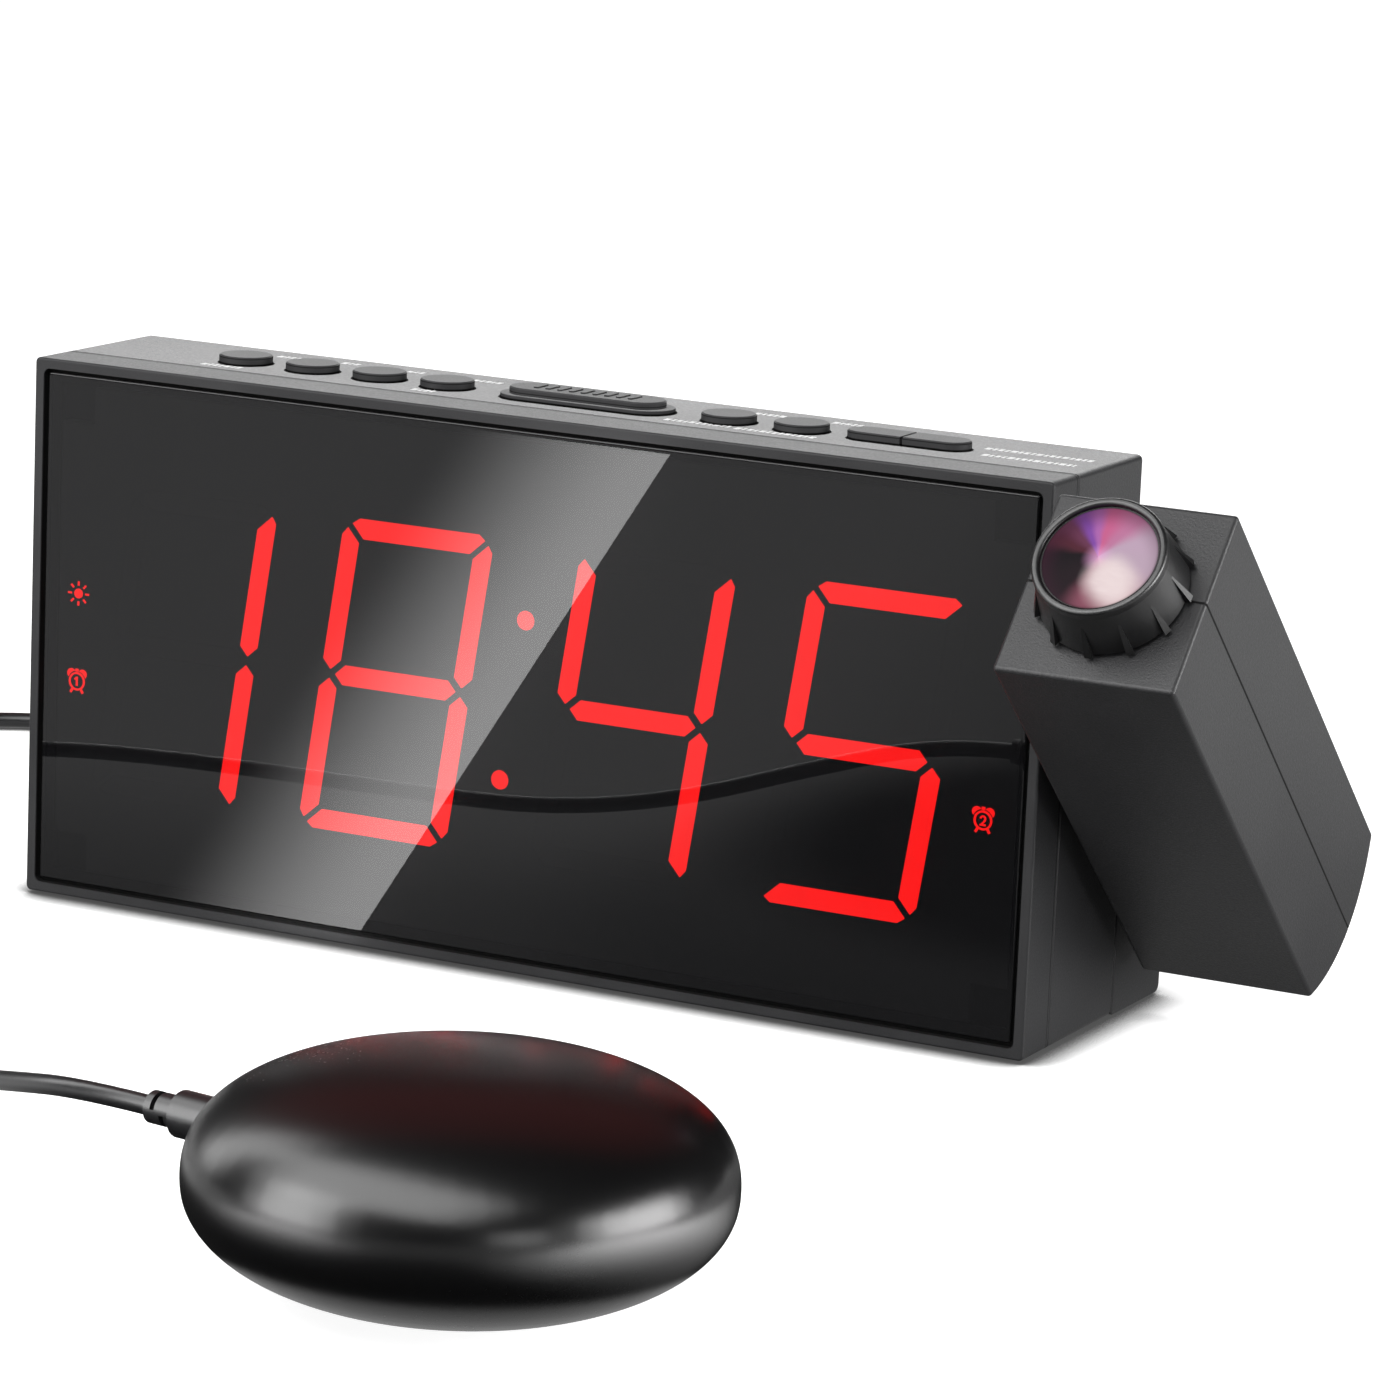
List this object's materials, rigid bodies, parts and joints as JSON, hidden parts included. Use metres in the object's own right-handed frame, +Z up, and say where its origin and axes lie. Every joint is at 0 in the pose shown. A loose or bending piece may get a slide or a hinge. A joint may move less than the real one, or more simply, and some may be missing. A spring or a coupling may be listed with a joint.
{
  "type": "projection alarm clock",
  "caption": "Digital alarm clock with a large red display, a tilting time projector on its side and a round bed shaker on a lead.",
  "frame": {"origin": "middle of the resting pad's underside, under the middle of the clock, on the surface it stands on", "axes": "+X to the viewer's right along the display, +Y from the display to the back, +Z up"},
  "size_m": [0.3209, 0.3232, 0.0963],
  "materials": {
    "case_plastic": "dark grey, fine satin texture",
    "smoked_window": "glossy smoked acrylic",
    "black_plastic": "matt black moulding",
    "lit_red": "diffuser lit by red lamps",
    "unlit_bar": "dark diffuser",
    "board_green": "circuit board with solder mask",
    "lamp_body": "small moulded lamps",
    "screw_steel": "zinc-plated steel",
    "button_plastic": "satin grey caps",
    "switch_black": "moulded switch bodies",
    "chip_black": "moulded chips",
    "speaker_metal": "pressed frame",
    "socket_steel": "tinned socket shells",
    "socket_black": "moulded jack socket",
    "cell_steel": "nickel-plated cell",
    "pad_rubber": "soft grip pad",
    "hub_plastic": "slippery black acetal",
    "film": "small liquid crystal film",
    "lens_glass": "coated clear lens",
    "ring_plastic": "ribbed black ring",
    "puck_black": "satin black moulding",
    "motor_steel": "plated motor can",
    "weight_brass": "turned brass weight",
    "cord_black": "soft black cable jacket"
  },
  "bodies": {
    "clock": {"front_bezel": "case_plastic", "display_window": "smoked_window", "led_reflector": "black_plastic", "lit_segments": "lit_red", "unlit_segments": "unlit_bar", "indicator_icons": "lit_red", "display_board": "board_green", "display_lamps": "lamp_body", "main_housing": "case_plastic", "case_screws": "screw_steel", "push_switches": "switch_black", "button_board": "board_green", "main_board": "board_green", "board_parts": "chip_black", "board_screws": "screw_steel", "speaker": "speaker_metal", "rear_base": "case_plastic", "base_screws": "screw_steel", "socket_board": "board_green", "usb_charge_socket": "socket_steel", "power_socket": "socket_steel", "shaker_socket": "socket_black", "battery_holder": "black_plastic", "coin_cell": "cell_steel", "resting_pad": "pad_rubber", "shaker_top": "puck_black", "shaker_bottom": "puck_black", "shaker_pad": "pad_rubber", "shaker_motor": "motor_steel", "motor_bracket": "black_plastic", "shaker_screws": "screw_steel", "strain_relief": "cord_black", "lead_coil": "cord_black", "lead_to_clock": "cord_black", "lead_to_shaker": "cord_black", "shaker_plug": "cord_black"},
    "projector": {"projector_hub": "hub_plastic", "hub_clip": "screw_steel", "projector_front_shell": "case_plastic", "projector_rear_shell": "case_plastic", "projector_screws": "screw_steel", "lens_guide": "black_plastic", "image_film": "film", "lamp_tube": "black_plastic", "condenser_lens": "lens_glass", "lamp_board": "board_green"},
    "focus": {"focus_ring": "ring_plastic"},
    "barrel": {"lens_barrel": "black_plastic", "projection_lens": "lens_glass"},
    "weight": {"eccentric_weight": "weight_brass"},
    "door": {"battery_door": "case_plastic"},
    "set_cap": {"set_button": "button_plastic"},
    "alarm_one_cap": {"alarm_one_button": "button_plastic"},
    "alarm_two_cap": {"alarm_two_button": "button_plastic"},
    "dimmer_cap": {"dimmer_button": "button_plastic"},
    "minus_cap": {"minus_button": "button_plastic"},
    "plus_cap": {"plus_button": "button_plastic"},
    "snooze_cap": {"snooze_bar": "button_plastic"},
    "projection_cap": {"projection_button": "button_plastic"},
    "flip_cap": {"flip_button": "button_plastic"}
  },
  "joints": [
    {"name": "projector_tilt", "type": "hinge", "parent": "clock", "child": "projector", "pos_m": [0.0985, -0.00745, 0.0475], "axis": [1, 0, 0], "range_deg": [-137.7, 42.3]},
    {"name": "focus_turn", "type": "hinge", "parent": "projector", "child": "focus", "pos_m": [0.11345, -0.04517, 0.08182], "axis": [0, -0.7396, 0.673], "range_deg": [0, 120]},
    {"name": "barrel_slide", "type": "slide", "parent": "projector", "child": "barrel", "axis": [0, 0.7396, -0.673], "range_m": [0, 0.0025]},
    {"name": "weight_spin", "type": "hinge", "parent": "clock", "child": "weight", "pos_m": [0.0804, -0.18325, 0.0167], "axis": [1, 0, 0], "continuous": true},
    {"name": "battery_door_pull", "type": "slide", "parent": "clock", "child": "door", "axis": [0, 1, 0], "range_m": [0, 0.03]},
    {"name": "set_press", "type": "slide", "parent": "clock", "child": "set_cap", "axis": [0, 0, -1], "range_m": [0, 0.0006], "stiffness_N_per_m": 600},
    {"name": "alarm_one_press", "type": "slide", "parent": "clock", "child": "alarm_one_cap", "axis": [0, 0, -1], "range_m": [0, 0.0006], "stiffness_N_per_m": 600},
    {"name": "alarm_two_press", "type": "slide", "parent": "clock", "child": "alarm_two_cap", "axis": [0, 0, -1], "range_m": [0, 0.0006], "stiffness_N_per_m": 600},
    {"name": "dimmer_press", "type": "slide", "parent": "clock", "child": "dimmer_cap", "axis": [0, 0, -1], "range_m": [0, 0.0006], "stiffness_N_per_m": 600},
    {"name": "minus_press", "type": "slide", "parent": "clock", "child": "minus_cap", "axis": [0, 0, -1], "range_m": [0, 0.0006], "stiffness_N_per_m": 600},
    {"name": "plus_press", "type": "slide", "parent": "clock", "child": "plus_cap", "axis": [0, 0, -1], "range_m": [0, 0.0006], "stiffness_N_per_m": 600},
    {"name": "snooze_press", "type": "slide", "parent": "clock", "child": "snooze_cap", "axis": [0, 0, -1], "range_m": [0, 0.0006], "stiffness_N_per_m": 600},
    {"name": "projection_press", "type": "slide", "parent": "clock", "child": "projection_cap", "axis": [0, 0, -1], "range_m": [0, 0.0006], "stiffness_N_per_m": 600},
    {"name": "flip_press", "type": "slide", "parent": "clock", "child": "flip_cap", "axis": [0, 0, -1], "range_m": [0, 0.0006], "stiffness_N_per_m": 600}
  ],
  "couplings": [
    {"joint": "barrel_slide", "follows": "focus_turn", "m_per_rad": 0.00119}
  ]
}
